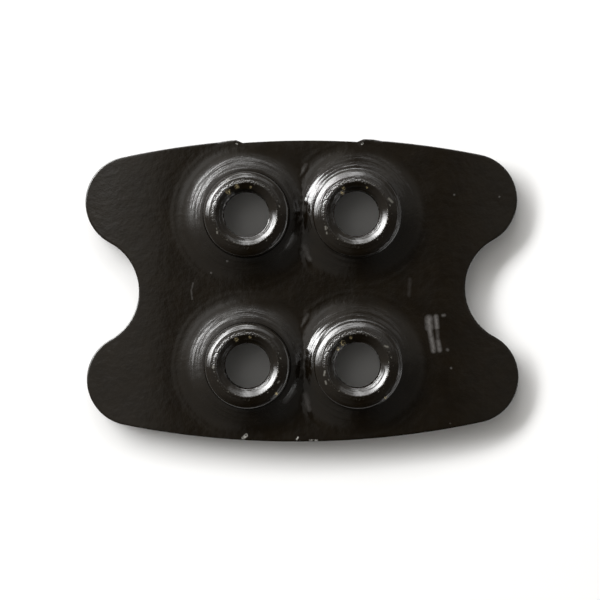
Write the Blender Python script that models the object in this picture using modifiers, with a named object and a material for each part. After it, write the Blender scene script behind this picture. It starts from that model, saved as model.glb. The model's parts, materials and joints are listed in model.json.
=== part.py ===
"""Threaded backing plate for the two-bolt cleat of a cycling shoe: a drawn steel plate and its four M5 bushes.

X runs along the shoe, Y across it, and the bosses point along +Z. The origin is under the middle of
the hole pattern, at the height of the wing tips that the plate stands on.
"""

import math

import bmesh
import bpy
from mathutils import Matrix

MM = 0.001

# The hole pattern, and the M5 x 0.8 thread as a plain hole at its minor diameter.
PITCH_X = 10.2 * MM
PITCH_Y = 14.0 * MM
THREAD_MINOR_RADIUS = 2.1 * MM

# The sheet, and the bend that turns its two ends down.
SHEET = 1.6 * MM
BEND_START = 12.3 * MM
BEND_RADIUS = 45.0 * MM
BEND_STEPS = 6
BEND_OVERRUN = 1.0 * MM

# The outline: two long shallow edges, four round lobes, and a round notch in each end.
HALF_WIDTH = 14.1 * MM
EDGE_RADIUS = 83.0 * MM
LOBE_RADIUS = 4.25 * MM
NOTCH_RADIUS = 5.1 * MM
NOTCH_FLOOR = 15.15 * MM

# The sheared strip at the middle of the +Y edge, with a burr standing at each end of it.
SHEAR_DEPTH = 0.25 * MM
SHEAR_LEFT = -5.4 * MM
SHEAR_RIGHT = 5.25 * MM
SHEAR_STEP = 0.6 * MM
BURR_HEIGHT = 0.06 * MM
BURR_LENGTH = 0.9 * MM

# The drawn dome round each bush: a flat top ring, a sloping side and a wide hollow foot.
DOME_HEIGHT = 0.75 * MM
DOME_TOP_RADIUS = 4.3 * MM
DOME_SLOPE = math.radians(30)
DOME_FOOT_ROUND = 1.6 * MM
DOME_FOOT_SINK = 0.03 * MM

# The bush: a flange in a counterbore in the back, a barrel through the dome, and a crowned collar.
FLANGE_RADIUS = 4.62 * MM
FLANGE_SINK = 0.1 * MM
FLANGE_THICKNESS = 0.75 * MM
COUNTERBORE_RADIUS = 4.82 * MM
COUNTERBORE_DEPTH = 1.0 * MM
BARREL_RADIUS = 3.97 * MM
BARREL_HOLE_RADIUS = 4.11 * MM
COLLAR_HEIGHT = 2.6 * MM
COLLAR_RADIUS = 3.9 * MM
COLLAR_ROUND = 0.3 * MM
CREST_RADIUS = 3.08 * MM
CROWN_SLOPE = math.radians(22)
MOUTH_RADIUS = 2.87 * MM
MOUTH_SLOPE = math.radians(30)
BACK_CHAMFER = 0.4 * MM

# How many straight pieces make each curve.
ROUND_STEPS = 36
CORNER_STEPS = 4
FOOT_STEPS = 5
LOBE_STEPS = 16
NOTCH_STEPS = 7
EDGE_STEPS = 18
SHEARED_EDGE_STEPS = 6
BURR_STEPS = 1

CUTTER_OVERRUN = 3.0 * MM
MERGE_DISTANCE = 0.01 * MM
SHARP_ANGLE = math.radians(30)


def clear_scene():
    for obj in list(bpy.data.objects):
        bpy.data.objects.remove(obj, do_unlink=True)


def new_collection(name):
    collection = bpy.data.collections.new(name)
    bpy.context.scene.collection.children.link(collection)
    return collection


def on_circle(centre, radius, angle):
    return (centre[0] + radius * math.cos(angle), centre[1] + radius * math.sin(angle))


def arc(centre, radius, start, end, steps):
    """Points along an arc from one angle to the other, both ends included."""
    return [on_circle(centre, radius, start + (end - start) * i / steps) for i in range(steps + 1)]


def direction(start, end):
    return math.atan2(end[1] - start[1], end[0] - start[0])


def circle_crossing(first, first_radius, second, second_radius):
    """The upper of the two points where two circles cross."""
    towards = direction(first, second)
    apart = math.dist(first, second)
    turn = math.acos((first_radius**2 + apart**2 - second_radius**2) / (2 * apart * first_radius))
    crossings = [on_circle(first, first_radius, towards + side * turn) for side in (-1, 1)]
    return max(crossings, key=lambda point: point[1])


def bend_drop(x, radius):
    """How far a face with this bend radius lies under its flat middle at x."""
    return radius - math.sqrt(radius**2 - (x - BEND_START) ** 2)


# The corner circles follow from the driving dimensions, because each arc runs into the next at a tangent.
EDGE_CENTRE = (0.0, HALF_WIDTH - EDGE_RADIUS)
NOTCH_CENTRE = (NOTCH_FLOOR + NOTCH_RADIUS, 0.0)
LOBE_CENTRE = circle_crossing(EDGE_CENTRE, EDGE_RADIUS - LOBE_RADIUS, NOTCH_CENTRE, NOTCH_RADIUS + LOBE_RADIUS)
TIP_X = LOBE_CENTRE[0] + LOBE_RADIUS
EDGE_END = direction(EDGE_CENTRE, LOBE_CENTRE)

# Heights. The lower edges of the wing tips are at zero.
BACK_BEND_RADIUS = BEND_RADIUS - SHEET / 2
BACK_Z = bend_drop(TIP_X, BACK_BEND_RADIUS)
FACE_Z = BACK_Z + SHEET
SHOULDER_Z = FACE_Z + DOME_HEIGHT
CREST_Z = FACE_Z + COLLAR_HEIGHT


def lobe_and_notch():
    """One corner, from the end of the long edge round the lobe to the floor of the notch."""
    to_notch = direction(LOBE_CENTRE, NOTCH_CENTRE)
    lobe = arc(LOBE_CENTRE, LOBE_RADIUS, EDGE_END, to_notch, LOBE_STEPS)
    notch = arc(NOTCH_CENTRE, NOTCH_RADIUS, to_notch + math.pi, math.pi, NOTCH_STEPS)
    return lobe + notch[1:]


def edge_angle(x):
    """The angle at which the arc of the +Y edge passes x."""
    return math.acos(x / EDGE_RADIUS)


def edge_arc(start_x, end_x, lift, steps):
    """Points along the +Y edge between two x, with the whole arc lifted by this much."""
    centre = (EDGE_CENTRE[0], EDGE_CENTRE[1] + lift)
    return arc(centre, EDGE_RADIUS, edge_angle(start_x), edge_angle(end_x), steps)


def sheared_edge():
    """The +Y edge from right to left, between the lobes."""
    right_burr = SHEAR_RIGHT + SHEAR_STEP
    left_burr = SHEAR_LEFT - SHEAR_STEP
    edge_end_x = EDGE_RADIUS * math.cos(EDGE_END)
    points = edge_arc(edge_end_x, right_burr + 2 * BURR_LENGTH, 0.0, SHEARED_EDGE_STEPS)[1:]
    points += edge_arc(right_burr + BURR_LENGTH, right_burr, BURR_HEIGHT, BURR_STEPS)
    points += edge_arc(SHEAR_RIGHT, SHEAR_LEFT, -SHEAR_DEPTH, SHEARED_EDGE_STEPS)
    points += edge_arc(left_burr, left_burr - BURR_LENGTH, BURR_HEIGHT, BURR_STEPS)
    points += edge_arc(left_burr - 2 * BURR_LENGTH, -edge_end_x, 0.0, SHEARED_EDGE_STEPS)[:-1]
    return points


def outline_points():
    """The plate's outline, anticlockwise from the floor of the right notch."""
    corner = lobe_and_notch()
    plain_edge = arc(EDGE_CENTRE, EDGE_RADIUS, math.pi - EDGE_END, EDGE_END, EDGE_STEPS)[1:-1]
    points = corner[::-1] + sheared_edge()
    points += [(-x, y) for x, y in corner]
    points += [(-x, -y) for x, y in corner[-2::-1]]
    points += [(x, -y) for x, y in plain_edge]
    points += [(x, -y) for x, y in corner[:-1]]
    return points


def bent_face(height, radius):
    """One face of the sheet seen from the side, from left to right, as (x, z) points."""
    tip_angle = math.asin((TIP_X - BEND_START) / radius)
    angles = [tip_angle * i / BEND_STEPS for i in range(BEND_STEPS + 1)]
    right = [(BEND_START + radius * math.sin(a), height - radius * (1 - math.cos(a))) for a in angles]
    tip_x, tip_z = right[-1]
    right.append((tip_x + BEND_OVERRUN, tip_z - BEND_OVERRUN * math.tan(tip_angle)))
    return [(-x, z) for x, z in reversed(right)] + right


def link_mesh(name, mesh, collection, matrix):
    obj = bpy.data.objects.new(name, mesh)
    obj.matrix_world = matrix
    collection.objects.link(obj)
    return obj


def baked_copy(source, collection, matrix):
    """A plain mesh object of what the source's curve or modifiers make. The source is removed."""
    name = source.name
    bpy.context.view_layer.update()
    graph = bpy.context.evaluated_depsgraph_get()
    mesh = bpy.data.meshes.new_from_object(source.evaluated_get(graph))
    bpy.data.objects.remove(source, do_unlink=True)
    welded = bmesh.new()
    welded.from_mesh(mesh)
    bmesh.ops.remove_doubles(welded, verts=welded.verts, dist=MERGE_DISTANCE)
    bmesh.ops.recalc_face_normals(welded, faces=welded.faces)
    welded.to_mesh(mesh)
    welded.free()
    mesh.shade_smooth()
    mesh.set_sharp_from_angle(angle=SHARP_ANGLE)
    mesh.name = name
    return link_mesh(name, mesh, collection, matrix)


def extruded(name, points, half_depth, collection, matrix):
    """A flat outline given a thickness of twice half_depth."""
    curve = bpy.data.curves.new(name, "CURVE")
    curve.dimensions = "2D"
    curve.fill_mode = "BOTH"
    curve.extrude = half_depth
    spline = curve.splines.new("POLY")
    spline.points.add(len(points) - 1)
    for point, (x, y) in zip(spline.points, points):
        point.co = (x, y, 0.0, 1.0)
    spline.use_cyclic_u = True
    source = bpy.data.objects.new(name, curve)
    collection.objects.link(source)
    return baked_copy(source, collection, matrix)


def turned(name, profile, closed, collection, matrix):
    """A profile of (radius, height) points turned about Z. It runs down its outer side."""
    mesh = bpy.data.meshes.new(name)
    edges = [(i, i + 1) for i in range(len(profile) - 1)]
    if closed:
        edges.append((len(profile) - 1, 0))
    mesh.from_pydata([(radius, 0.0, height) for radius, height in profile], edges, [])
    source = bpy.data.objects.new(name, mesh)
    collection.objects.link(source)
    screw = source.modifiers.new("turn", "SCREW")
    screw.steps = ROUND_STEPS
    screw.render_steps = ROUND_STEPS
    screw.use_merge_vertices = True
    screw.merge_threshold = MERGE_DISTANCE
    return baked_copy(source, collection, matrix)


def combine(target, operation, other):
    boolean = target.modifiers.new(other.name, "BOOLEAN")
    boolean.operation = operation
    boolean.solver = "EXACT"
    boolean.object = other
    other.hide_render = True
    other.display_type = "WIRE"


def material(name, colour, metallic, roughness):
    made = bpy.data.materials.new(name)
    made.use_nodes = True
    shader = made.node_tree.nodes["Principled BSDF"]
    shader.inputs["Base Color"].default_value = (*colour, 1.0)
    shader.inputs["Metallic"].default_value = metallic
    shader.inputs["Roughness"].default_value = roughness
    made.diffuse_color = (*colour, 1.0)
    return made


def boss_places():
    """The four boss axes, with a name for each corner."""
    places = {}
    for end, x in (("left", -PITCH_X / 2), ("right", PITCH_X / 2)):
        for side, y in (("upper", PITCH_Y / 2), ("lower", -PITCH_Y / 2)):
            places[f"{side}_{end}"] = Matrix.Translation((x, y, 0.0))
    return places


def dome_profile():
    """The dome's outer side, closed inside the sheet."""
    upright = math.pi / 2 - DOME_SLOPE
    foot_z = FACE_Z - DOME_FOOT_SINK
    foot_top = foot_z + DOME_FOOT_ROUND * (1 - math.sin(upright))
    foot_x = DOME_TOP_RADIUS + (SHOULDER_Z - foot_top) / math.tan(DOME_SLOPE)
    foot_centre = (foot_x + DOME_FOOT_ROUND * math.cos(upright), foot_z + DOME_FOOT_ROUND)
    foot = arc(foot_centre, DOME_FOOT_ROUND, math.pi + upright, 1.5 * math.pi, FOOT_STEPS)
    inside_sheet = BACK_Z + SHEET / 2
    top = [(0.0, SHOULDER_Z), (DOME_TOP_RADIUS, SHOULDER_Z)]
    return top + foot + [(foot[-1][0], inside_sheet), (0.0, inside_sheet)]


def bush_hole_profile():
    """What is cut from the plate for a bush: the hole through the dome and the counterbore in the back."""
    top = SHOULDER_Z + CUTTER_OVERRUN
    bottom = BACK_Z - CUTTER_OVERRUN
    seat = BACK_Z + COUNTERBORE_DEPTH
    hole = [(0.0, top), (BARREL_HOLE_RADIUS, top), (BARREL_HOLE_RADIUS, seat)]
    return hole + [(COUNTERBORE_RADIUS, seat), (COUNTERBORE_RADIUS, bottom), (0.0, bottom)]


def crown_profile():
    """The rim of the flat crest, the slope that falls from it, and the rounded corner of the collar."""
    centre_x = COLLAR_RADIUS - COLLAR_ROUND
    tangent_x = centre_x + COLLAR_ROUND * math.sin(CROWN_SLOPE)
    tangent_z = CREST_Z - (tangent_x - CREST_RADIUS) * math.tan(CROWN_SLOPE)
    centre = (centre_x, tangent_z - COLLAR_ROUND * math.cos(CROWN_SLOPE))
    return [(CREST_RADIUS, CREST_Z)] + arc(centre, COLLAR_ROUND, math.pi / 2 - CROWN_SLOPE, 0.0, CORNER_STEPS)


def bush_profile():
    """The bush's section, down its outside from the crest and back up its bore."""
    flange_bottom = BACK_Z + FLANGE_SINK
    flange_top = flange_bottom + FLANGE_THICKNESS
    outside = crown_profile()
    outside += [(BARREL_RADIUS, SHOULDER_Z), (BARREL_RADIUS, flange_top)]
    outside += [(FLANGE_RADIUS, flange_top), (FLANGE_RADIUS, flange_bottom)]
    mouth_depth = (MOUTH_RADIUS - THREAD_MINOR_RADIUS) * math.tan(MOUTH_SLOPE)
    bore = [(THREAD_MINOR_RADIUS + BACK_CHAMFER, flange_bottom)]
    bore.append((THREAD_MINOR_RADIUS, flange_bottom + BACK_CHAMFER))
    bore.append((THREAD_MINOR_RADIUS, CREST_Z - mouth_depth))
    return outside + bore + [(MOUTH_RADIUS, CREST_Z)]


def build_plate(parts, cutters, finish):
    halfway = (BACK_Z + FACE_Z) / 2
    side_view = bent_face(BACK_Z, BACK_BEND_RADIUS)
    side_view += reversed(bent_face(FACE_Z, BEND_RADIUS + SHEET / 2))
    upright = Matrix.Rotation(math.pi / 2, 4, "X")
    plate = extruded("drawn_plate", side_view, HALF_WIDTH + CUTTER_OVERRUN, parts, upright)
    blank = extruded("outline", outline_points(), CUTTER_OVERRUN, cutters, Matrix.Translation((0, 0, halfway)))
    combine(plate, "INTERSECT", blank)
    for corner, place in boss_places().items():
        combine(plate, "UNION", turned(f"dome_{corner}", dome_profile(), False, cutters, place))
    # Half a facet round, so that no corner of a hole lies on an edge of its dome.
    half_facet = Matrix.Rotation(math.pi / ROUND_STEPS, 4, "Z")
    for corner, place in boss_places().items():
        hole = turned(f"hole_{corner}", bush_hole_profile(), False, cutters, place @ half_facet)
        combine(plate, "DIFFERENCE", hole)
    plate.data.materials.append(finish)


def build_bushes(parts, finish):
    for corner, place in boss_places().items():
        bush = turned(f"threaded_bush_{corner}", bush_profile(), True, parts, place)
        bush.data.materials.append(finish)


def main():
    clear_scene()
    parts = new_collection("cleat_backing_plate")
    cutters = new_collection("cutters")
    build_plate(parts, cutters, material("plate_black_coat", (0.022, 0.020, 0.018), 0.6, 0.22))
    build_bushes(parts, material("bush_black_coat", (0.030, 0.028, 0.026), 0.8, 0.18))


main()
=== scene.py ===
"""The finished look of the cleat backing plate: coated steel, drawn bosses and cut M5 threads."""

import json
import math

import bpy
import numpy as np
from mathutils import Matrix, Vector, noise
from mathutils.geometry import delaunay_2d_cdt


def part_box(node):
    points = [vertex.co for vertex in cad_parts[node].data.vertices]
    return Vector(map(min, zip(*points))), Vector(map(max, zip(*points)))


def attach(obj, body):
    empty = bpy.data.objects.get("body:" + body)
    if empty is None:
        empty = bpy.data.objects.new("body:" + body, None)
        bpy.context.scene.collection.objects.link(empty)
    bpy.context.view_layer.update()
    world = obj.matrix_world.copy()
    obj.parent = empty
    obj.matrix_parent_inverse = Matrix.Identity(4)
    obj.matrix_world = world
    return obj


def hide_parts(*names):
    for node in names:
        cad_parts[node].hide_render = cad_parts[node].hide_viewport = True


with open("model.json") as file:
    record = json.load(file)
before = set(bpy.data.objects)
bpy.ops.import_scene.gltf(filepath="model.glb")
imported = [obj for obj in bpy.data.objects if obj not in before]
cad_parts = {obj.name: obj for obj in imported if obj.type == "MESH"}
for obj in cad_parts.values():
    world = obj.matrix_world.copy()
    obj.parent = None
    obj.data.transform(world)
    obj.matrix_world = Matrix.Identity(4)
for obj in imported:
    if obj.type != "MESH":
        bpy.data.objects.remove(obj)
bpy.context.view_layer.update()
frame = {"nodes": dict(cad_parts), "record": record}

MM = 0.001
# Faces that meet at more than this angle show a hard edge.
SHARP_ANGLE = math.radians(38)


# ---- Places and sizes, in millimetres, from the frame -------------------------------------------------

def mount_height(name):
    mounts = {mount["name"]: mount for mount in frame["record"]["mounts"]}
    return mounts[name]["pos_m"][2] / MM


def node_box(node):
    low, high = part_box(node)
    return np.array(low) / MM, np.array(high) / MM


def end_of(bush):
    """Which end of the plate a bush is at: left or right."""
    return bush.split("_")[-1]


BUSHES = sorted(name for name in frame["nodes"] if name.startswith("threaded_bush"))
PLATE_LOW, PLATE_HIGH = node_box("drawn_plate")
BUSH_LOW, BUSH_HIGH = node_box(BUSHES[0])
CENTRES = {name: (sum(node_box(name)) / 2)[:2] for name in BUSHES}
FACE_Z = mount_height("sole_face")
BACK_Z = mount_height("back_face")
CREST_Z = BUSH_HIGH[2]

# The outline, in the arcs that the plate is drawn with, and the sheared strip in its +Y edge.
TIP_X = PLATE_HIGH[0]
HALF_WIDTH = -PLATE_LOW[1]
EDGE_RADIUS = 83.0
LOBE_RADIUS = 4.25
NOTCH_RADIUS = 5.1
NOTCH_FLOOR = 15.15
SHEAR_DEPTH = 0.25
SHEAR_LEFT = -5.4
SHEAR_RIGHT = 5.25
SHEAR_STEP = 0.6
BURR_HEIGHT = 0.06
BURR_LENGTH = 0.9
OUTLINE_STEP = 0.3

# The edge that the blanking die rolled over: how wide and deep, and how much more at the sheared strip.
ROLL_WIDTH = 0.14
ROLL_DEPTH = 0.05
STRIP_ROLL_WIDTH = 0.30
STRIP_ROLL_DEPTH = 0.02
# Where along X the strip's extra roll fades in at its left end and out at its right end.
STRIP_LEFT_FADE = (-6.0, -5.2)
STRIP_RIGHT_FADE = (6.0, 5.4)
# Each row of the blanked edge: how far down the sheet it is, as a share, and how far in it stands.
EDGE_ROWS = [
    (0.10, 0.0),
    (0.25, 0.0),
    (0.42, 0.0),
    (0.47, 0.025),
    (0.62, 0.045),
    (0.78, 0.05),
    (0.92, 0.04),
]
# How uneven those rows are, as a share of how far in they stand, and how fine the grain is along the edge
# and down it.
EDGE_ROUGHNESS = 0.35
EDGE_GRAIN = 2.2
EDGE_GRAIN_DOWN = 9
BACK_INSET = 0.02

# The bend of the wings.
BEND_START = 12.3
FACE_BEND_RADIUS = 45.8
BACK_BEND_RADIUS = 44.2

# The domes and the holes that the bushes sit in.
HOLE_RADIUS = 4.05
COUNTERBORE_RADIUS = 4.82
COUNTERBORE_DEPTH = 1.0
DOME_HEIGHT = PLATE_HIGH[2] - FACE_Z
DOME_FOOT = 7.2
# The dome's section, as radius and height under its top, away from the crease between two domes.
OPEN_PROFILES = {
    "left": [
        (3.85, 0.0),
        (4.05, -0.01),
        (4.30, -0.07),
        (4.46, -0.13),
        (4.84, -0.284),
        (4.98, -0.330),
        (5.28, -0.452),
        (5.75, -0.600),
        (6.20, -0.700),
        (6.80, -0.745),
        (7.20, -0.75),
    ],
    "right": [
        (3.85, 0.0),
        (4.05, -0.02),
        (4.14, -0.13),
        (4.40, -0.205),
        (4.66, -0.309),
        (5.30, -0.516),
        (5.80, -0.668),
        (6.20, -0.728),
        (6.80, -0.748),
        (7.20, -0.75),
    ],
}
# The same at the crease, where the dome is steeper.
CREASE_PROFILES = {
    "left": [
        (3.85, 0.0),
        (4.05, -0.01),
        (4.30, -0.07),
        (4.50, -0.15),
        (4.85, -0.39),
        (5.05, -0.465),
        (5.28, -0.56),
        (5.60, -0.66),
        (6.10, -0.725),
        (6.80, -0.748),
        (7.20, -0.75),
    ],
    "right": [
        (3.85, 0.0),
        (4.06, -0.02),
        (4.28, -0.125),
        (4.86, -0.445),
        (5.02, -0.52),
        (5.40, -0.62),
        (6.10, -0.72),
        (6.80, -0.748),
        (7.20, -0.75),
    ],
}
# How far round from the crease's direction the crease section holds, and where the other one takes over.
CREASE_TURN = (math.radians(25), math.radians(62))
CREASE_SOFTNESS = 0.05
CREASE_LEAST_HEIGHT = 0.02
# The faint ring that the drawing punch leaves at the foot of a dome.
DRAW_RING_RADIUS = 6.8
DRAW_RING_HEIGHT = 0.014
DRAW_RING_WIDTH = 0.11
# The small folds at the crease: how far they reach along X and Y, how long they are, and how high.
CRUMPLE_REACH = (0.75, 2.6)
CRUMPLE_SIZE = (0.30, 0.42)
CRUMPLE_HEIGHT = 0.07
# Two longer folds beside the crease on each right dome: place from the crease at the boss's height,
# half length, half width, direction in degrees, and height.
FOLDS = [
    ((0.32, -4.1), 0.55, 0.16, -68, 0.10),
    ((0.30, 4.05), 0.50, 0.14, 62, 0.05),
]
# The shallow waves all over the face.
WAVE_SIZE = 2.6
WAVE_HEIGHT = 0.010
# Which slice of the noise the waves and the small folds take.
WAVE_SLICE = 0.37
CRUMPLE_SLICE = 4.2
# How many points go round a circle.
ROUND_STEPS = 144

# The bush.
THREAD_MINOR = 2.10
THREAD_MAJOR = 2.5
THREAD_PITCH = 0.8
THREAD_ROW = 0.04
MOUTH_RADIUS = 2.87
MOUTH_DEPTHS = [0.0, 0.20, 0.42]
MOUTH_RADII = [MOUTH_RADIUS, 2.50, 2.15]
MOUTH_RIM_DROP = 0.03
BACK_CHAMFER = 0.4
BARREL_RADIUS = 4.0
FLANGE_RADIUS = (BUSH_HIGH[0] - BUSH_LOW[0]) / 2
FLANGE_BOTTOM = BUSH_LOW[2]
FLANGE_TOP = FLANGE_BOTTOM + 0.75
FLANGE_BEVEL = 0.12
BARREL_FOOT_BEVEL = 0.06
# How far the turned surface wanders and how fast, and how many turns apart the threads of two bushes
# start.
WOBBLE = 0.008
WOBBLE_RATE = 2.0
THREAD_START_STEP = 0.29
# The depth under the crest where the rows inside the bore get closer together, and where they end.
FINE_DEPTH = 0.5
TOP_ROW_DEPTH = 0.06


# ---- Outline ------------------------------------------------------------------------------------------

def on_circle(centre, radius, angle):
    return np.array([centre[0] + radius * math.cos(angle), centre[1] + radius * math.sin(angle)])


def arc(centre, radius, start, end):
    """Points along an arc, about OUTLINE_STEP apart, both ends included."""
    steps = max(2, round(abs(end - start) * radius / OUTLINE_STEP))
    return [on_circle(centre, radius, start + (end - start) * i / steps) for i in range(steps + 1)]


def direction(start, end):
    return math.atan2(end[1] - start[1], end[0] - start[0])


def circle_crossing(first, first_radius, second, second_radius):
    """The upper of the two points where two circles cross."""
    towards = direction(first, second)
    apart = math.dist(first, second)
    turn = math.acos((first_radius**2 + apart**2 - second_radius**2) / (2 * apart * first_radius))
    crossings = [on_circle(first, first_radius, towards + side * turn) for side in (-1, 1)]
    return max(crossings, key=lambda point: point[1])


EDGE_CENTRE = (0.0, HALF_WIDTH - EDGE_RADIUS)
NOTCH_CENTRE = (NOTCH_FLOOR + NOTCH_RADIUS, 0.0)
LOBE_CENTRE = circle_crossing(
    EDGE_CENTRE, EDGE_RADIUS - LOBE_RADIUS, NOTCH_CENTRE, NOTCH_RADIUS + LOBE_RADIUS
)
EDGE_END = direction(EDGE_CENTRE, LOBE_CENTRE)


def edge_angle(x):
    """The angle at which the arc of the +Y edge passes x."""
    return math.acos(x / EDGE_RADIUS)


def sheared_edge():
    """The +Y edge from right to left, with the sheared strip and the burr at each end of it."""
    right_burr = SHEAR_RIGHT + SHEAR_STEP
    left_burr = SHEAR_LEFT - SHEAR_STEP
    burr_radius = EDGE_RADIUS + BURR_HEIGHT
    strip_centre = (0.0, EDGE_CENTRE[1] - SHEAR_DEPTH)
    past_burr = edge_angle(left_burr - 2 * BURR_LENGTH)
    points = arc(EDGE_CENTRE, EDGE_RADIUS, EDGE_END, edge_angle(right_burr + 2 * BURR_LENGTH))[1:]
    points += arc(EDGE_CENTRE, burr_radius, edge_angle(right_burr + BURR_LENGTH), edge_angle(right_burr))
    points += arc(strip_centre, EDGE_RADIUS, edge_angle(SHEAR_RIGHT), edge_angle(SHEAR_LEFT))
    points += arc(EDGE_CENTRE, burr_radius, edge_angle(left_burr), edge_angle(left_burr - BURR_LENGTH))
    points += arc(EDGE_CENTRE, EDGE_RADIUS, past_burr, math.pi - EDGE_END)[:-1]
    return points


def outline_loop():
    """The plate's outline, anticlockwise from the floor of the right notch."""
    to_notch = direction(LOBE_CENTRE, NOTCH_CENTRE)
    corner = arc(LOBE_CENTRE, LOBE_RADIUS, EDGE_END, to_notch)
    corner += arc(NOTCH_CENTRE, NOTCH_RADIUS, to_notch + math.pi, math.pi)[1:]
    plain_edge = arc(EDGE_CENTRE, EDGE_RADIUS, math.pi - EDGE_END, EDGE_END)[1:-1]
    left, down = np.array([-1, 1]), np.array([1, -1])
    points = corner[::-1] + sheared_edge()
    points += [point * left for point in corner]
    points += [point * left * down for point in corner[-2::-1]]
    points += [point * down for point in plain_edge]
    points += [point * down for point in corner[:-1]]
    return np.array(points)


def outward_normals(loop):
    along = np.roll(loop, -1, axis=0) - np.roll(loop, 1, axis=0)
    along /= np.linalg.norm(along, axis=1)[:, None]
    return np.stack([along[:, 1], -along[:, 0]], axis=1)


def edge_distance(points, loop):
    """How far each point is from the nearest stretch of the loop."""
    nearest = np.full(len(points), np.inf)
    for start, end in zip(loop, np.roll(loop, -1, axis=0)):
        side = end - start
        share = np.clip(((points - start) @ side) / (side @ side), 0, 1)
        gap = points - start - share[:, None] * side
        nearest = np.minimum(nearest, np.hypot(gap[:, 0], gap[:, 1]))
    return nearest


def inside(points, loop):
    within = np.zeros(len(points), bool)
    for (ax, ay), (bx, by) in zip(loop, np.roll(loop, -1, axis=0)):
        if ay == by:
            continue
        crosses = (ay > points[:, 1]) != (by > points[:, 1])
        within ^= crosses & (points[:, 0] < (bx - ax) * (points[:, 1] - ay) / (by - ay) + ax)
    return within


def circle_loop(centre, radius):
    turns = 2 * math.pi * np.arange(ROUND_STEPS) / ROUND_STEPS
    return np.array(centre) + radius * np.stack([np.cos(turns), np.sin(turns)], axis=1)


# ---- The heights of the plate's two faces -------------------------------------------------------------

def smooth_step(low, high, values):
    share = np.clip((values - low) / (high - low), 0, 1)
    return share * share * (3 - 2 * share)


def rounded(points, times=4):
    """A chain of points with its corners cut again and again, which rounds it."""
    points = np.array(points, float)
    for _ in range(times):
        near = points[:-1] * 0.75 + points[1:] * 0.25
        far = points[:-1] * 0.25 + points[1:] * 0.75
        middle = np.stack([near, far], axis=1).reshape(-1, points.shape[1])
        points = np.vstack([points[:1], middle[1:-1], points[-1:]])
    return points


def bend_drop(x, radius):
    past = np.maximum(np.abs(x) - BEND_START, 0)
    return radius - np.sqrt(radius**2 - past**2)


def bump(points, centre, length, width, angle, height):
    """A low ridge or, with a negative height, a dent: length and width are its half sizes."""
    along = np.array([math.cos(angle), math.sin(angle)])
    across = np.array([-along[1], along[0]])
    offset = points - np.array(centre)
    return height * np.exp(-((offset @ along / length) ** 2) - (offset @ across / width) ** 2)


OPEN_CURVES = {end: rounded(profile) for end, profile in OPEN_PROFILES.items()}
CREASE_CURVES = {end: rounded(profile) for end, profile in CREASE_PROFILES.items()}


def dome_heights(points):
    """Height over the sheet of the four domes, which meet in a crease where two of them touch."""
    total = np.zeros(len(points))
    for name, centre in CENTRES.items():
        offset = points - centre
        radius = np.hypot(*offset.T)
        open_curve = OPEN_CURVES[end_of(name)]
        steep_curve = CREASE_CURVES[end_of(name)]
        towards_crease = -math.copysign(1, centre[0]) * offset[:, 0]
        turn = np.arctan2(np.abs(offset[:, 1]), towards_crease)
        steep = smooth_step(CREASE_TURN[1], CREASE_TURN[0], turn)
        height = np.interp(radius, open_curve[:, 0], open_curve[:, 1]) * (1 - steep)
        height += np.interp(radius, steep_curve[:, 0], steep_curve[:, 1]) * steep
        height += DOME_HEIGHT
        height += DRAW_RING_HEIGHT * np.exp(-(((radius - DRAW_RING_RADIUS) / DRAW_RING_WIDTH) ** 2))
        blended = (total + height + np.sqrt((total - height) ** 2 + CREASE_SOFTNESS**2)) / 2
        both = (total > CREASE_LEAST_HEIGHT) & (height > CREASE_LEAST_HEIGHT)
        total = np.where(both, blended, np.maximum(total, height))
    return total


def waviness(points):
    waves = [noise.noise(Vector((x, y, WAVE_SLICE))) for x, y in points / WAVE_SIZE]
    return WAVE_HEIGHT * np.array(waves)


def crumple(points):
    """Small folds in the metal that was squeezed between two domes, at the crease where they meet."""
    seam_y = max(abs(centre[1]) for centre in CENTRES.values())
    near = np.exp(-((points[:, 0] / CRUMPLE_REACH[0]) ** 2))
    near *= np.exp(-(((np.abs(points[:, 1]) - seam_y) / CRUMPLE_REACH[1]) ** 2))
    folds = [noise.noise(Vector((x, y, CRUMPLE_SLICE))) for x, y in points / CRUMPLE_SIZE]
    return CRUMPLE_HEIGHT * near * np.array(folds)


def face_heights(points, loop):
    """The boss side of the plate, with the edge that the blanking die rolled over."""
    heights = FACE_Z - bend_drop(points[:, 0], FACE_BEND_RADIUS) + dome_heights(points)
    heights += waviness(points)
    for middle in (CENTRES[name] for name in BUSHES if end_of(name) == "right"):
        crease = np.array([0.0, middle[1]])
        for offset, length, width, angle, height in FOLDS:
            heights += bump(points, crease + offset, length, width, math.radians(angle), height)
    heights += crumple(points)
    from_edge = edge_distance(points, loop)
    strip = smooth_step(*STRIP_LEFT_FADE, points[:, 0]) * smooth_step(*STRIP_RIGHT_FADE, points[:, 0])
    strip = strip * (points[:, 1] > 0)
    width = ROLL_WIDTH + STRIP_ROLL_WIDTH * strip
    depth = ROLL_DEPTH + STRIP_ROLL_DEPTH * strip
    heights -= depth * np.clip(1 - from_edge / width, 0, 1) ** 2
    return heights


def back_heights(points):
    return BACK_Z - bend_drop(points[:, 0], BACK_BEND_RADIUS)


# ---- Meshes -------------------------------------------------------------------------------------------

# How the points of the plate's faces are spaced.
FACE_STEP = 0.34
FACE_EDGE_GAP = 0.38
BACK_STEP = 0.9
BACK_EDGE_GAP = 0.5
WELL_GAP = 0.4
GRID_ROW_SHARE = 0.87
EDGE_RING_DEPTHS = (0.03, 0.08, 0.15, 0.24)
EDGE_RING_SHARE = 0.9
FIRST_RING_GAP = 0.05
SLOPE_END = 6.0
SLOPE_RING_STEP = 0.075
FOOT_RING_STEP = 0.10
RING_EDGE_GAP = 0.32
CREASE_GAP = 0.03
CREASE_STEP = 0.09
CREASE_END = 13.5
MERGE_DISTANCE = 1e-6


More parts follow.
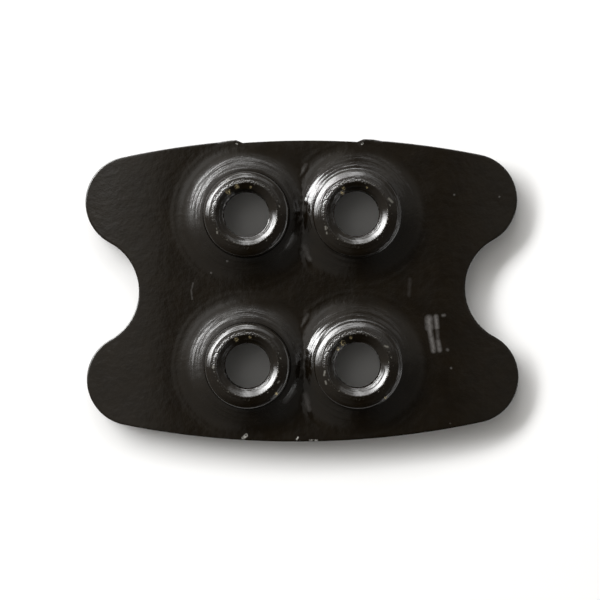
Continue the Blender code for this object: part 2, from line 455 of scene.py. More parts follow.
class Surface:
    """Gathers points and faces, in millimetres, and makes one mesh of them."""

    def __init__(self):
        self.points = []
        self.faces = []
        self.count = 0

    def add(self, points):
        ids = np.arange(self.count, self.count + len(points))
        self.points.append(points)
        self.count += len(points)
        return ids

    def add_loop(self, loop, heights):
        return self.add(np.column_stack([loop, np.broadcast_to(heights, len(loop))]))

    def wall(self, upper, lower, outwards=True):
        """Faces between two loops of points that run anticlockwise, seen from above."""
        upper_next, lower_next = np.roll(upper, -1), np.roll(lower, -1)
        order = [upper, lower, lower_next, upper_next]
        if not outwards:
            order = order[::-1]
        self.faces += np.stack(order, axis=1).tolist()

    def mesh(self, name):
        made = bpy.data.meshes.new(name)
        made.from_pydata((np.vstack(self.points) * MM).tolist(), [], self.faces)
        made.validate()
        made.shade_smooth()
        made.set_sharp_from_angle(angle=SHARP_ANGLE)
        return made


def triangulated(loops, hole_radius, extra):
    """Triangles inside the first loop and outside the others, which are circles of one radius."""
    points = np.vstack(loops + [extra])
    edges = []
    start = 0
    for loop in loops:
        ids = range(start, start + len(loop))
        edges += [(i, j) for i, j in zip(ids, [*ids[1:], ids[0]])]
        start += len(loop)
    made = delaunay_2d_cdt([Vector(point) for point in points], edges, [], 0, MERGE_DISTANCE)
    spots, faces, origins = np.array(made[0]), np.array(made[2]), made[3]
    place = np.zeros(len(points), int)
    for spot, sources in enumerate(origins):
        place[sources] = spot
    middles = spots[faces].mean(axis=1)
    wanted = inside(middles, loops[0])
    for centre in CENTRES.values():
        wanted &= np.hypot(*(middles - centre).T) > hole_radius * math.cos(math.pi / ROUND_STEPS)
    loop_ids = np.split(place[:start], np.cumsum([len(loop) for loop in loops])[:-1])
    return spots, faces[wanted], loop_ids


def grid_points(step, loop, edge_gap, boss_gap):
    """An even grid of points, staggered row by row, clear of the edge and of the bosses."""
    rows = np.arange(-HALF_WIDTH, HALF_WIDTH, step * GRID_ROW_SHARE)
    columns = np.arange(-TIP_X, TIP_X, step)
    points = np.array([(x + step / 2 * (i % 2), y) for i, y in enumerate(rows) for x in columns])
    points = points[inside(points, loop)]
    points = points[edge_distance(points, loop) > edge_gap]
    for centre in CENTRES.values():
        points = points[np.hypot(*(points - centre).T) > boss_gap]
    return points


def boss_rings(loop):
    """Rings of points round each boss, closer together on the slope than at the foot, and the crease."""
    slope_radii = np.arange(HOLE_RADIUS + FIRST_RING_GAP, SLOPE_END, SLOPE_RING_STEP)
    foot_radii = np.arange(SLOPE_END + FIRST_RING_GAP, DOME_FOOT, FOOT_RING_STEP)
    half_step = math.pi / ROUND_STEPS
    cosine, sine = math.cos(half_step), math.sin(half_step)
    spin = np.array([[cosine, sine], [-sine, cosine]])
    kept = []
    for centre in CENTRES.values():
        rings = [circle_loop(centre, radius) for radius in (*slope_radii, *foot_radii)]
        for ring in rings[::2]:
            ring[:] = (ring - centre) @ spin + centre
        points = np.vstack(rings)
        points = points[(points[:, 0] * centre[0] > 0) & (np.abs(points[:, 0]) > CREASE_GAP)]
        points = points[points[:, 1] * centre[1] > 0]
        kept.append(points)
    kept.append(np.array([(0.0, y) for y in np.arange(-CREASE_END, CREASE_END, CREASE_STEP)]))
    points = np.vstack(kept)
    points = points[inside(points, loop)]
    return points[edge_distance(points, loop) > RING_EDGE_GAP]


def edge_rings(loop):
    """Rows of points along the inside of the outline, for the rolled edge."""
    normals = outward_normals(loop)
    kept = []
    for depth in EDGE_RING_DEPTHS:
        ring = loop - depth * normals
        kept.append(ring[edge_distance(ring, loop) > EDGE_RING_SHARE * depth])
    return np.vstack(kept)


def plate_mesh():
    surface = Surface()
    loop = outline_loop()
    normals = outward_normals(loop)

    holes = [circle_loop(centre, HOLE_RADIUS) for centre in CENTRES.values()]
    extra = [edge_rings(loop), boss_rings(loop), grid_points(FACE_STEP, loop, FACE_EDGE_GAP, DOME_FOOT)]
    spots, faces, loops = triangulated([loop, *holes], HOLE_RADIUS, np.vstack(extra))
    ids = surface.add(np.column_stack([spots, face_heights(spots, loop)]))
    surface.faces += ids[faces].tolist()
    upper_edge, hole_rims = ids[loops[0]], [ids[ring] for ring in loops[1:]]
    upper_heights = face_heights(loop, loop)

    back_loop = loop - BACK_INSET * normals
    wells = [circle_loop(centre, COUNTERBORE_RADIUS) for centre in CENTRES.values()]
    extra = grid_points(BACK_STEP, loop, BACK_EDGE_GAP, COUNTERBORE_RADIUS + WELL_GAP)
    spots, faces, loops = triangulated([back_loop, *wells], COUNTERBORE_RADIUS, extra)
    ids = surface.add(np.column_stack([spots, back_heights(spots)]))
    surface.faces += ids[faces][:, ::-1].tolist()
    lower_edge, well_rims = ids[loops[0]], [ids[ring] for ring in loops[1:]]

    above = upper_edge
    drop = upper_heights - back_heights(loop)
    for share, inset in EDGE_ROWS:
        grain = [noise.noise(Vector((x, y, share * EDGE_GRAIN_DOWN))) for x, y in loop * EDGE_GRAIN]
        rough = EDGE_ROUGHNESS * inset * np.array(grain)
        row = loop - (inset + rough)[:, None] * normals
        row_ids = surface.add_loop(row, upper_heights - share * drop)
        surface.wall(above, row_ids)
        above = row_ids
    surface.wall(above, lower_edge)

    seat = BACK_Z + COUNTERBORE_DEPTH
    for centre, hole_rim, well_rim in zip(CENTRES.values(), hole_rims, well_rims):
        hole_foot = surface.add_loop(circle_loop(centre, HOLE_RADIUS), seat)
        well_top = surface.add_loop(circle_loop(centre, COUNTERBORE_RADIUS), seat)
        surface.wall(hole_rim, hole_foot, outwards=False)
        surface.wall(hole_foot, well_top, outwards=False)
        surface.wall(well_top, well_rim, outwards=False)
    return surface.mesh("plate_shell")


# The bush's outside from the mouth down to the barrel, as radius and height under the crest.
COLLAR_PROFILES = {
    "left": [
        (MOUTH_RADIUS, -MOUTH_RIM_DROP),
        (MOUTH_RADIUS + 0.02, -0.007),
        (2.92, -0.007),
        (3.19, -0.125),
        (3.46, -0.230),
        (3.74, -0.388),
        (3.95, -0.545),
        (3.99, -0.88),
        (4.01, -1.83),
        (4.01, -2.2),
    ],
    "right": [
        (MOUTH_RADIUS, -MOUTH_RIM_DROP),
        (MOUTH_RADIUS + 0.02, -0.007),
        (2.93, -0.007),
        (3.12, -0.087),
        (3.42, -0.221),
        (3.66, -0.319),
        (3.88, -0.447),
        (3.98, -0.505),
        (4.025, -0.580),
        (4.03, -0.88),
        (4.03, -1.83),
        (4.03, -2.2),
    ],
}


# The thread's section: place in the pitch, and depth as a share of the thread's whole depth.
THREAD_SECTION = [(0.0, 0.06), (0.03, 0.0), (0.22, 0.0), (0.25, 0.06), (0.55, 1.0), (0.70, 1.0), (1.0, 0.06)]


def thread_radius(turns, height):
    """The wall of the M5 thread: a flat crest, a flank, a root and a flank in each pitch."""
    phase = np.mod(height / THREAD_PITCH - turns, 1.0)
    depth = np.interp(phase, *zip(*THREAD_SECTION))
    return THREAD_MINOR + (THREAD_MAJOR - THREAD_MINOR) * depth


def bush_mesh(name, seed):
    """One bush: down its outside from the mouth, under the flange and back up the threaded bore."""
    surface = Surface()
    turns = np.arange(ROUND_STEPS) / ROUND_STEPS
    angles = 2 * math.pi * turns
    rows = [(radius, CREST_Z + height) for radius, height in rounded(COLLAR_PROFILES[end_of(name)], 3)]
    rows += [(BARREL_RADIUS, FLANGE_TOP + BARREL_FOOT_BEVEL)]
    rows += [(BARREL_RADIUS + BARREL_FOOT_BEVEL, FLANGE_TOP)]
    rows += [(FLANGE_RADIUS - FLANGE_BEVEL, FLANGE_TOP), (FLANGE_RADIUS, FLANGE_TOP - FLANGE_BEVEL)]
    rows += [(FLANGE_RADIUS, FLANGE_BOTTOM + FLANGE_BEVEL), (FLANGE_RADIUS - FLANGE_BEVEL, FLANGE_BOTTOM)]
    rows += [(THREAD_MINOR + BACK_CHAMFER, FLANGE_BOTTOM)]
    loops = []
    for radius, height in rows:
        spread = np.full(ROUND_STEPS, radius)
        if height > FLANGE_TOP + BARREL_FOOT_BEVEL:
            around = WOBBLE_RATE * np.stack([np.cos(angles), np.sin(angles)], axis=1)
            places = [Vector((x, y, seed + height)) for x, y in around]
            spread = spread + WOBBLE * np.array([noise.noise(place) for place in places])
        loop = np.stack([spread * np.cos(angles), spread * np.sin(angles)], axis=1)
        loops.append(surface.add_loop(loop, height))

    fine_from = CREST_Z - FINE_DEPTH
    heights = [*np.arange(FLANGE_BOTTOM + THREAD_ROW, fine_from, THREAD_ROW)]
    heights += [*np.arange(fine_from, CREST_Z - TOP_ROW_DEPTH, THREAD_ROW / 2)]
    for height in heights:
        under_mouth = CREST_Z - MOUTH_RIM_DROP - height
        mouth = np.interp(under_mouth, MOUTH_DEPTHS, MOUTH_RADII, right=0.0)
        back = THREAD_MINOR + BACK_CHAMFER - (height - FLANGE_BOTTOM)
        radius = np.maximum(thread_radius(turns + seed * THREAD_START_STEP, height), max(mouth, back))
        loop = np.stack([radius * np.cos(angles), radius * np.sin(angles)], axis=1)
        loops.append(surface.add_loop(loop, height))
    for above, below in zip(loops, [*loops[1:], loops[0]]):
        surface.wall(above, below)
    return surface.mesh(name)


# ---- Materials ----------------------------------------------------------------------------------------

class Nodes:
    """A material's node tree, with a short way to add nodes and link them."""

    def __init__(self, name):
        self.material = bpy.data.materials.new(name)
        self.material.use_nodes = True
        self.tree = self.material.node_tree
        self.shader = self.tree.nodes["Principled BSDF"]

    def add(self, kind, sockets=None, **settings):
        node = self.tree.nodes.new(kind)
        for key, value in settings.items():
            setattr(node, key, value)
        for key, value in (sockets or {}).items():
            self.put(node, key, value)
        return node

    def put(self, node, key, value):
        if isinstance(value, bpy.types.NodeSocket):
            self.tree.links.new(value, node.inputs[key])
        else:
            node.inputs[key].default_value = value

    def position(self):
        return self.add("ShaderNodeTexCoord").outputs["Object"]

    def noise(self, position, size, detail=2.0, roughness=0.5):
        """Noise between 0 and 1 with features about size millimetres across."""
        sockets = {"Vector": position, "Scale": 1 / (size * MM), "Detail": detail, "Roughness": roughness}
        return self.add("ShaderNodeTexNoise", sockets).outputs["Fac"]

    def span(self, value, low, high, to_low=0.0, to_high=1.0):
        sockets = {"Value": value, "From Min": low, "From Max": high, "To Min": to_low, "To Max": to_high}
        return self.add("ShaderNodeMapRange", sockets).outputs["Result"]

    def between(self, distance, start, end, to_start=0.0, to_end=1.0):
        """Goes from one level to the other between two distances in millimetres."""
        return self.span(distance, start * MM, end * MM, to_start, to_end)

    def math(self, operation, first, second=0.0):
        return self.add("ShaderNodeMath", {0: first, 1: second}, operation=operation).outputs[0]

    def vector(self, operation, first, second=(0.0, 0.0, 0.0)):
        return self.add("ShaderNodeVectorMath", {0: first, 1: second}, operation=operation).outputs[0]

    def length(self, offset):
        return self.add("ShaderNodeVectorMath", {0: offset}, operation="LENGTH").outputs["Value"]

    def flat(self, position):
        """The position with its height taken out."""
        return self.vector("MULTIPLY", position, (1, 1, 0))

    def bump(self, level, height, below=None):
        """A bump of this many millimetres, on top of the one below if there is one."""
        sockets = {"Strength": 1.0, "Distance": height * MM, "Height": level}
        if below is not None:
            sockets["Normal"] = below
        return self.add("ShaderNodeBump", sockets).outputs["Normal"]

    def strongest(self, marks):
        most = marks[0]
        for mark in marks[1:]:
            most = self.math("MAXIMUM", most, mark)
        return most

    def mix(self, share, first, second):
        node = self.add("ShaderNodeMix", {0: share, 6: first, 7: second}, data_type="RGBA")
        return node.outputs[2]

    def above(self, position, height):
        """1 more than this many millimetres above the floor, so that wear and the painted marks stay on the
        upper side.
        """
        level = self.add("ShaderNodeSeparateXYZ", {0: position}).outputs["Z"]
        return self.between(level, height - MARK_FADE, height + MARK_FADE)

    def stroke(self, position, start, end, width):
        """1 along a straight stroke from start to end, in millimetres on the plate, fading at its sides."""
        first, last = Vector((*start, 0)) * MM, Vector((*end, 0)) * MM
        side = last - first
        offset = self.vector("SUBTRACT", self.flat(position), first)
        unit = side / side.length_squared
        dot = self.add("ShaderNodeVectorMath", {0: offset, 1: unit}, operation="DOT_PRODUCT")
        share = self.add("ShaderNodeClamp", {"Value": dot.outputs["Value"]}).outputs[0]
        nearest = self.add("ShaderNodeVectorMath", {0: side, "Scale": share}, operation="SCALE").outputs[0]
        gap = self.length(self.vector("SUBTRACT", offset, nearest))
        return self.span(gap, width * MM, width * MM * STROKE_CORE)


def rgba(red, green, blue):
    return (red, green, blue, 1.0)


# The middle share of a stroke's width that has its full strength.
STROKE_CORE = 0.1

COAT_COLOUR = rgba(0.0055, 0.0034, 0.0012)
COAT_SHADE = rgba(0.0040, 0.0024, 0.0008)
COAT_IOR = 1.53
# The scuffs' grey, which also paints highlights on the crease folds and the left dent.
SCUFF_AND_HIGHLIGHT_COLOUR = rgba(0.090, 0.084, 0.080)
BARE_COLOUR = rgba(0.80, 0.66, 0.36)
# The dust's grey, which also paints glints on the bushes' rough lips.
DUST_AND_GLINT_COLOUR = rgba(0.11, 0.105, 0.09)
# The chips' grey, which also paints glints on the plate's edge.
CHIP_AND_GLINT_COLOUR = rgba(0.42, 0.41, 0.38)

# Wear and the painted highlights and glints show only above these heights over the floor, so that the lower
# parts of the walls and the bores, and the back, have none. They fade out over this distance on both sides
# of them.
PLATE_MARK_HEIGHT = 1.6
BUSH_MARK_HEIGHT = 4.2
MARK_FADE = 0.1

# The coating's roughness at its glossiest and dullest, and what wear and the painted marks add to it.
COAT_ROUGHNESS = (0.12, 0.20)
PLATE_MARK_ROUGHNESS = 0.40
BUSH_MARK_ROUGHNESS = 0.25

# The rings that drawing and turning leave: pitch and height in millimetres, and how fast they change
# along their length, in waves per metre.
RING_PITCH = 0.30
RING_HEIGHT = 0.036
RING_DRIFT = 280.0
# How far from an axis they show: least at the first distance and full at the second. That least is nothing
# on the plate, and in a bush's mouth it is this share of their height.
PLATE_RING_REACH = (5.8, 5.0)
BUSH_RING_REACH = (2.60, 2.95)
MOUTH_RING_SHARE = 0.35

# The orange peel of the coating: size and height of its ripples, and the fine grain on the plate's, as a
# share of both.
PLATE_PEEL = (0.60, 0.016)
BUSH_PEEL = (0.45, 0.012)
PEEL_GRAIN = 0.22

# How large the patches are in the coating's colour and gloss, on the plate and on a bush.
PLATE_TONE_SIZE = 1.6
PLATE_GLOSS_SIZE = 1.4
BUSH_TONE_SIZE = 0.9
BUSH_GLOSS_SIZE = 0.8

# The domes' flanks are duller than the sheet: where that starts and is full, how much it adds on the left
# and on the right domes, and how far to each side of the crease the one goes over into the other.
FLANK_REACH = (5.9, 5.3)
FLANK_DULLNESS = (0.10, 0.02)
FLANK_TURNOVER = 0.5

# How fine the ragged edges are of the scuffs and painted highlights, of the chips and painted edge glints,
# of bare flecks, of the dust and painted glints, and of the mouth's chipped rim.
SCUFF_AND_HIGHLIGHT_GRAIN = 0.30
CHIP_AND_GLINT_GRAIN = 0.18
FLECK_GRAIN = 0.14
DUST_AND_GLINT_GRAIN = 0.20
RIM_GRAIN = 0.16
# The band round the mouth that chips, dust and the painted glints keep to: where it starts and where it
# ends.
RIM_START = (2.75, 2.85)
RIM_END = (3.30, 3.12)
RIM_CHIP_SHARE = 2.0

# Scuffs in the plate's coating and a few dust specks, and painted highlights of the small folds at the
# crease between two domes and of a faint dent at the left end: start, end and half width of each stroke, and
# how strong it is.
SCUFFS_AND_PAINTED_HIGHLIGHTS = [
    ((11.76, -2.80), (11.80, -3.60), 0.48, 1.0),
    ((11.80, -3.60), (12.17, -5.75), 0.32, 0.95),
    ((12.42, -2.60), (12.50, -3.60), 0.30, 0.95),
    ((12.50, -3.60), (12.58, -4.80), 0.25, 0.38),
    ((12.58, -4.90), (12.73, -5.70), 0.30, 0.85),
    ((10.02, 0.90), (9.92, -0.60), 0.24, 0.13),
    ((13.05, -2.49), (13.20, -2.47), 0.20, 0.6),
    ((13.44, -5.66), (13.48, -5.70), 0.20, 0.55),
    ((13.77, -7.37), (13.79, -7.39), 0.14, 1.0),
    ((14.20, 8.70), (14.22, 8.70), 0.13, 0.8),
    ((18.40, 8.50), (18.42, 8.50), 0.12, 0.7),
    ((-8.45, 1.65), (-8.42, 1.63), 0.12, 0.9),
    ((-6.93, 2.70), (-6.90, 2.72), 0.13, 1.0),
    # Painted highlight of a faint dent outboard of the left bosses, as far from one as from the other.
    ((-10.10, 0.70), (-10.28, 0.00), 0.11, 0.4),
    ((-10.28, 0.00), (-10.20, -0.80), 0.11, 0.4),
    # From here on: painted highlights of the small folds and creased metal at the crease between two domes.
    ((0.22, 4.00), (0.40, 3.40), 0.40, 0.45),
    ((0.40, 3.40), (0.74, 2.80), 0.28, 0.45),
    ((0.24, -9.85), (0.36, -10.50), 0.40, 0.55),
    ((0.36, -10.50), (0.58, -11.15), 0.28, 0.45),
    ((0.20, 11.10), (0.44, 11.60), 0.26, 0.22),
    ((0.20, -2.85), (0.44, -2.35), 0.26, 0.22),
    ((-1.30, 4.05), (-0.72, 4.85), 0.42, 0.26),
    ((-1.62, -10.35), (-0.82, -9.40), 0.34, 0.24),
]
# Places at the plate's edge where the coating is chipped off, and painted glints where the edge catches the
# light: start, end and half width of each.
EDGE_CHIPS_AND_GLINTS = [
    ((-5.56, -13.74), (-5.26, -13.46), 0.20),
    ((-0.58, -13.90), (-0.50, -13.72), 0.12),
    ((0.62, -13.98), (1.30, -13.98), 0.09),
    ((5.66, 13.48), (5.72, 13.54), 0.11),
    ((-6.04, 13.62), (-5.90, 13.56), 0.08),
    # Painted glint on the rolled edge of the lower right lobe.
    ((13.60, -12.46), (13.66, -12.50), 0.08),
]

# Bare flecks, most of them at the start of the thread: distance from the axis, azimuth in degrees and half
# width. Each is this long.
FLECK_LENGTH = 0.02
FLECKS = {
    "upper_left": [(2.60, 128, 0.30), (2.66, 108, 0.26), (2.50, 80, 0.14)],
    "upper_right": [(2.28, 125, 0.24), (2.60, 118, 0.22), (2.55, 68, 0.12)],
    "lower_left": [(2.62, 112, 0.24), (2.66, 84, 0.16), (3.70, 316, 0.20)],
    "lower_right": [(2.46, 124, 0.30), (2.34, 140, 0.22), (2.62, 104, 0.16), (4.00, 310, 0.20)],
}

# Grey nicks on each bush: distance from the axis and azimuth of each end, and half width.
NICKS = {
    "upper_left": [(3.52, 116, 3.56, 118, 0.13), (3.12, 211, 3.18, 213, 0.12)],
    "upper_right": [
        (3.24, 24, 3.42, 17, 0.15),
        (3.14, 203, 3.22, 207, 0.12),
        (3.30, 212, 3.34, 214, 0.10),
    ],
    "lower_left": [(3.12, 180, 3.14, 182, 0.15), (3.20, 331, 3.26, 334, 0.11)],
    "lower_right": [
        (3.10, 190, 3.26, 196, 0.12),
        (3.05, 35, 3.22, 31, 0.13),
        (3.34, 206, 3.40, 210, 0.12),
    ],
}


def polar(distance, azimuth):
    turn = math.radians(azimuth)
    return distance * math.cos(turn), distance * math.sin(turn)


def ring_bump(nodes, radius, across, grooves, below):
    """The fine rings that drawing and turning leave, as a bump on top of the one below."""
    pace = nodes.vector("MULTIPLY", across, (RING_DRIFT, RING_DRIFT, 0.0))
    count = nodes.math("MULTIPLY", radius, 1 / (RING_PITCH * MM))
    rings = nodes.add("ShaderNodeCombineXYZ", {2: count}).outputs[0]
    sockets = {"Vector": nodes.vector("ADD", pace, rings), "Scale": 1.0, "Detail": 2.0, "Roughness": 0.42}
    level = nodes.math("MULTIPLY", nodes.add("ShaderNodeTexNoise", sockets).outputs["Fac"], grooves)
    return nodes.bump(level, RING_HEIGHT, below)


def peel_bump(nodes, position, size, height):
    """Orange peel: soft ripples under a fine grain."""
    ripple = nodes.noise(position, size, 2.0)
    grain = nodes.noise(position, size * PEEL_GRAIN, 1.0)
    return nodes.bump(nodes.math("ADD", ripple, nodes.math("MULTIPLY", grain, PEEL_GRAIN)), height)


def boss_distance(nodes, position):
    """How far each point of the plate is from the nearest boss's axis: the four fold onto one."""
    middle = (*(np.abs(CENTRES[BUSHES[0]]) * MM), 0.0)
    offset = nodes.vector("SUBTRACT", nodes.vector("ABSOLUTE", position), middle)
    return nodes.length(nodes.flat(offset))


def coat_tone(nodes, position, size):
    """The coating's colour, which changes a little from place to place."""
    return nodes.mix(nodes.span(nodes.noise(position, size, 4.0, 0.6), 0.35, 0.65), COAT_SHADE, COAT_COLOUR)


def coat_gloss(nodes, position, size):
    return nodes.span(nodes.noise(position, size, 4.0, 0.6), 0.3, 0.7, *COAT_ROUGHNESS)


def plate_coat():
    nodes = Nodes("plate_coat")
    position = nodes.position()
    upper = nodes.above(position, PLATE_MARK_HEIGHT)

    # The scuff strokes paint scuffs and dust, and painted highlights of the crease folds and the left dent,
    # in a lighter grey.
    strokes = [(nodes.stroke(position, *ends, width), strength) for *ends, width, strength in SCUFFS_AND_PAINTED_HIGHLIGHTS]
    marks = nodes.strongest([nodes.math("MULTIPLY", stroke, strength) for stroke, strength in strokes])
    broken = nodes.span(nodes.noise(position, SCUFF_AND_HIGHLIGHT_GRAIN, 3.0, 0.6), 0.30, 0.55, 0.45, 1.0)
    marks = nodes.math("MULTIPLY", nodes.math("MULTIPLY", marks, broken), upper)
    # The edge strokes paint chipped coating and painted glints on the edge, in a light grey.
    chips_and_glints = nodes.strongest([nodes.stroke(position, *ends, width) for *ends, width in EDGE_CHIPS_AND_GLINTS])
    broken = nodes.span(nodes.noise(position, CHIP_AND_GLINT_GRAIN, 2.0), 0.38, 0.55)
    chips_and_glints = nodes.math("MULTIPLY", nodes.math("MULTIPLY", chips_and_glints, broken), upper)
    coat = nodes.mix(marks, coat_tone(nodes, position, PLATE_TONE_SIZE), SCUFF_AND_HIGHLIGHT_COLOUR)
    nodes.put(nodes.shader, "Base Color", nodes.mix(chips_and_glints, coat, CHIP_AND_GLINT_COLOUR))
    nodes.shader.inputs["IOR"].default_value = COAT_IOR

    radius = boss_distance(nodes, position)
    along_plate = nodes.add("ShaderNodeSeparateXYZ", {0: position}).outputs["X"]
    dullness = nodes.between(along_plate, -FLANK_TURNOVER, FLANK_TURNOVER, *FLANK_DULLNESS)
    flank = nodes.math("MULTIPLY", nodes.between(radius, *FLANK_REACH), dullness)
    worn_and_painted = nodes.math("MULTIPLY", nodes.math("MAXIMUM", marks, chips_and_glints), PLATE_MARK_ROUGHNESS)
    roughness = nodes.math("ADD", coat_gloss(nodes, position, PLATE_GLOSS_SIZE), worn_and_painted)
    nodes.put(nodes.shader, "Roughness", nodes.math("ADD", roughness, flank))

    grooves = nodes.between(radius, *PLATE_RING_REACH)
    peel = peel_bump(nodes, position, *PLATE_PEEL)
    nodes.put(nodes.shader, "Normal", ring_bump(nodes, radius, position, grooves, peel))
    return nodes.material


def bush_coat(name, corner):
    nodes = Nodes(name)
    position = nodes.position()
    flat = nodes.flat(position)
    radius = nodes.length(flat)
    upper = nodes.above(position, BUSH_MARK_HEIGHT)

    flecks = [
        nodes.stroke(position, polar(distance, azimuth), polar(distance + FLECK_LENGTH, azimuth), size)
        for distance, azimuth, size in FLECKS[corner]
    ]
    broken = nodes.span(nodes.noise(position, FLECK_GRAIN, 2.0), 0.44, 0.62)
    bare = nodes.math("MULTIPLY", nodes.math("MULTIPLY", nodes.strongest(flecks), broken), upper)
    rim = nodes.math("MULTIPLY", nodes.between(radius, *RIM_START), nodes.between(radius, *RIM_END))
    # Grey specks on the lip band: dust, and painted glints of the rim's rough edge.
    dust_and_glints = nodes.math("MULTIPLY", nodes.span(nodes.noise(position, DUST_AND_GLINT_GRAIN, 1.0), 0.64, 0.76), rim)
    nicks = [
        nodes.stroke(position, polar(*ends[:2]), polar(*ends[2:]), width)
        for *ends, width in NICKS[corner]
    ]
    dust_and_glints = nodes.math("MULTIPLY", nodes.strongest([dust_and_glints, *nicks]), upper)
    coat = nodes.mix(dust_and_glints, coat_tone(nodes, position, BUSH_TONE_SIZE), DUST_AND_GLINT_COLOUR)
    nodes.put(nodes.shader, "Base Color", nodes.mix(bare, coat, BARE_COLOUR))
    nodes.put(nodes.shader, "Metallic", bare)
    nodes.shader.inputs["IOR"].default_value = COAT_IOR
    worn_and_painted = nodes.math("MULTIPLY", nodes.math("MAXIMUM", bare, dust_and_glints), BUSH_MARK_ROUGHNESS)
    roughness = nodes.math("ADD", coat_gloss(nodes, position, BUSH_GLOSS_SIZE), worn_and_painted)
    nodes.put(nodes.shader, "Roughness", roughness)

    size, height = BUSH_PEEL
    swing = nodes.math("SUBTRACT", nodes.noise(position, RIM_GRAIN, 1.0), 0.5)
    chipped = nodes.math("MULTIPLY", swing, nodes.math("MULTIPLY", rim, RIM_CHIP_SHARE))
    peel = nodes.bump(nodes.math("ADD", nodes.noise(position, size, 3.0), chipped), height)
    grooves = nodes.between(radius, *BUSH_RING_REACH, MOUTH_RING_SHARE)
    nodes.put(nodes.shader, "Normal", ring_bump(nodes, radius, flat, grooves, peel))
    return nodes.material


def floor_paint():
    nodes = Nodes("pale_floor")
    position = nodes.position()
    tone = nodes.noise(position, 40.0, 2.0)
    nodes.put(nodes.shader, "Base Color", nodes.mix(tone, rgba(0.87, 0.87, 0.87), rgba(0.89, 0.89, 0.89)))
    nodes.shader.inputs["Roughness"].default_value = 0.9
    nodes.shader.inputs["Specular IOR Level"].default_value = 0.2
    return nodes.material


# ---- Pieces -------------------------------------------------------------------------------------------

def add_piece(name, mesh, material, place, node):
    mesh.materials.append(material)
    piece = bpy.data.objects.new(name, mesh)
    piece.matrix_world = place
    bpy.context.scene.collection.objects.link(piece)
    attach(piece, "root")
    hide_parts(node)


def add_pieces():
    place = Matrix.Identity(4)
    add_piece("plate_shell", plate_mesh(), plate_coat(), place, "drawn_plate")
    for seed, node in enumerate(BUSHES):
        name = node.replace("threaded_bush", "bush")
        place = Matrix.Translation((*(CENTRES[node] * MM), 0.0))
        coat = bush_coat(f"{name}_coat", node.replace("threaded_bush_", ""))
        add_piece(name, bush_mesh(name, seed), coat, place, node)


# ---- Floor, light and camera --------------------------------------------------------------------------

FLOOR_HALF = 1.5


def add_floor():
    mesh = bpy.data.meshes.new("floor")
    turns = [(-1, -1), (1, -1), (1, 1), (-1, 1)]
    corners = [(x * FLOOR_HALF, y * FLOOR_HALF, 0) for x, y in turns]
    mesh.from_pydata(corners, [], [(0, 1, 2, 3)])
    mesh.materials.append(floor_paint())
    floor = bpy.data.objects.new("floor", mesh)
    bpy.context.scene.collection.objects.link(floor)


def aim(obj, azimuth, elevation, distance, target=(0.0, 0.0, 0.0)):
    """Puts an object in a direction from the target, in degrees from +X and from the floor, facing it."""
    turn, rise = math.radians(azimuth), math.radians(elevation)
    away = Vector((math.cos(turn) * math.cos(rise), math.sin(turn) * math.cos(rise), math.sin(rise)))
    obj.location = Vector(target) + away * distance
    obj.rotation_euler = away.to_track_quat("Z", "Y").to_euler()


def add_panel(name, azimuth, elevation, width, height, radiance, colour=(1.0, 1.0, 1.0), distance=0.6):
    """A soft light panel; width and height are in degrees as the object sees them."""
    light = bpy.data.lights.new(name, "AREA")
    light.shape = "RECTANGLE"
    light.size = 2 * distance * math.tan(math.radians(width / 2))
    light.size_y = 2 * distance * math.tan(math.radians(height / 2))
    light.energy = radiance * math.pi * light.size * light.size_y
    light.color = colour
    panel = bpy.data.objects.new(name, light)
    bpy.context.scene.collection.objects.link(panel)
    aim(panel, azimuth, elevation, distance)


# How bright the studio is along a direction, by the direction's part along an axis, as (part, level).
# SKY_ACROSS by X times SKY_UP by Y, plus SKY_TOP by Y, plus SKY_LOW by Z.
SKY_ACROSS = [(-1.0, 0.55), (-0.26, 0.55), (-0.15, 0.53), (-0.075, 0.31), (-0.035, 0.13), (0.0, 0.054),
              (0.035, 0.03), (0.10, 0.055), (0.20, 0.15), (0.34, 0.24), (1.0, 0.12)]
SKY_UP = [(-0.9, 0.0), (-0.55, 0.45), (-0.2, 0.55), (-0.05, 0.58), (-0.01, 0.61), (0.015, 0.79),
          (0.05, 1.0), (1.0, 1.0)]
SKY_TOP = [(-0.09, 0.0), (-0.055, 0.035), (-0.03, 0.0), (0.10, 0.07), (0.30, 0.06), (0.80, 0.12),
           (1.0, 0.12)]
SKY_LOW = [(0.0, 0.35), (0.22, 0.35), (0.30, 0.02), (1.0, 0.02)]


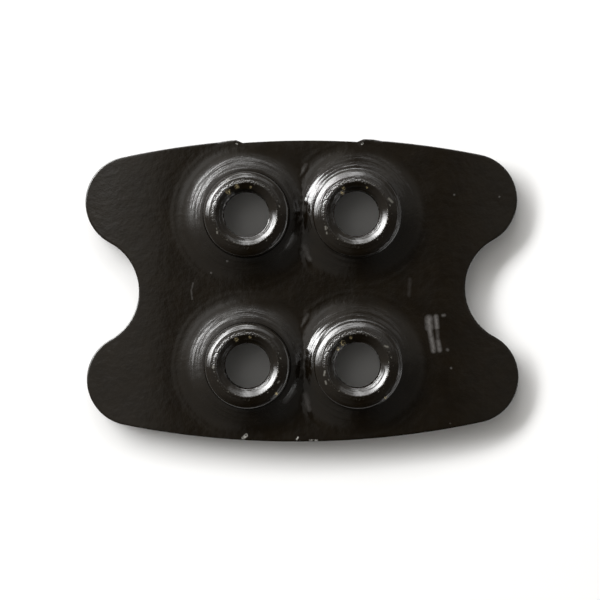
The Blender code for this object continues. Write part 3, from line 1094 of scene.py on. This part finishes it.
def add_sky():
    world = bpy.data.worlds.new("studio")
    world.use_nodes = True
    tree = world.node_tree
    towards = tree.nodes.new("ShaderNodeTexCoord").outputs["Generated"]
    parts = tree.nodes.new("ShaderNodeSeparateXYZ")
    tree.links.new(towards, parts.inputs[0])

    def curve(part, stops):
        share = tree.nodes.new("ShaderNodeMapRange")
        share.inputs["From Min"].default_value = -1.0
        tree.links.new(part, share.inputs["Value"])
        ramp = tree.nodes.new("ShaderNodeValToRGB")
        tree.links.new(share.outputs["Result"], ramp.inputs["Fac"])
        elements = ramp.color_ramp.elements
        elements.remove(elements[1])
        for index, (place, level) in enumerate(stops):
            element = elements[0] if index == 0 else elements.new(0.5 + place / 2)
            element.position = 0.5 + place / 2
            element.color = rgba(level, level, level)
        return ramp.outputs["Color"]

    def combined(operation, first, second):
        node = tree.nodes.new("ShaderNodeMath")
        node.operation = operation
        for socket, value in zip(node.inputs, (first, second)):
            if isinstance(value, bpy.types.NodeSocket):
                tree.links.new(value, socket)
            else:
                socket.default_value = value
        return node.outputs[0]

    across, up, height = parts.outputs
    strength = combined("MULTIPLY", curve(across, SKY_ACROSS), curve(up, SKY_UP))
    strength = combined("ADD", strength, curve(up, SKY_TOP))
    strength = combined("ADD", strength, curve(height, SKY_LOW))
    background = tree.nodes["Background"]
    background.inputs["Color"].default_value = rgba(1.0, 0.97, 0.91)
    tree.links.new(strength, background.inputs["Strength"])
    bpy.context.scene.world = world


# The key is a long low strip of light: its radiance at each azimuth, in degrees.
KEY_LEVELS = [(60, 0.36), (76, 0.96), (84, 5.4), (92, 9.6), (98, 7.2), (106, 5.04), (112, 7.2), (118, 12),
              (124, 18), (130, 21.6), (140, 24), (148, 28.8), (156, 27.6), (164, 20.4), (172, 8.4), (180, 0)]
KEY_ELEVATION = 33.0
KEY_HEIGHT = 13.0
KEY_STEP = 6.0

# The other panels: azimuth, elevation, width and height in degrees as the plate sees them, and radiance.
PANELS = {
    "glow": (140, 68, 22, 12, 0.5),
    "sheen": (58, 46, 56, 9, 0.4),
    "strip": (68, 35, 32, 8, 1.25),
    "fill_low": (328, 19, 44, 9, 2.8),
    "fill_right": (5, 19, 40, 9, 1.1),
}


def add_light():
    add_sky()
    width = KEY_STEP * math.cos(math.radians(KEY_ELEVATION))
    azimuths, radiances = zip(*KEY_LEVELS)
    for azimuth in np.arange(azimuths[0] + KEY_STEP / 2, azimuths[-1], KEY_STEP):
        radiance = float(np.interp(azimuth, azimuths, radiances))
        add_panel(f"key_{azimuth:.0f}", azimuth, KEY_ELEVATION, width, KEY_HEIGHT, radiance)
    for name, panel in PANELS.items():
        add_panel(name, *panel)


# The camera looks straight down. The view's width and centre are in millimetres at the sheet's face.
CAMERA_ROLL = math.radians(-0.4475)
VIEW_WIDTH = 55.7
VIEW_CENTRE = (-0.193, -0.954)
LENS = 200.0
SENSOR = 36.0


def add_camera():
    data = bpy.data.cameras.new("camera")
    data.lens = LENS
    data.sensor_width = SENSOR
    data.clip_start = 0.01
    camera = bpy.data.objects.new("camera", data)
    height = FACE_Z + VIEW_WIDTH * LENS / SENSOR
    camera.location = Vector((*VIEW_CENTRE, height)) * MM
    camera.rotation_euler = (0.0, 0.0, CAMERA_ROLL)
    bpy.context.scene.collection.objects.link(camera)
    bpy.context.scene.camera = camera


add_pieces()
add_floor()
add_light()
add_camera()
bpy.context.scene.view_settings.view_transform = "Standard"

bpy.context.view_layer.update()
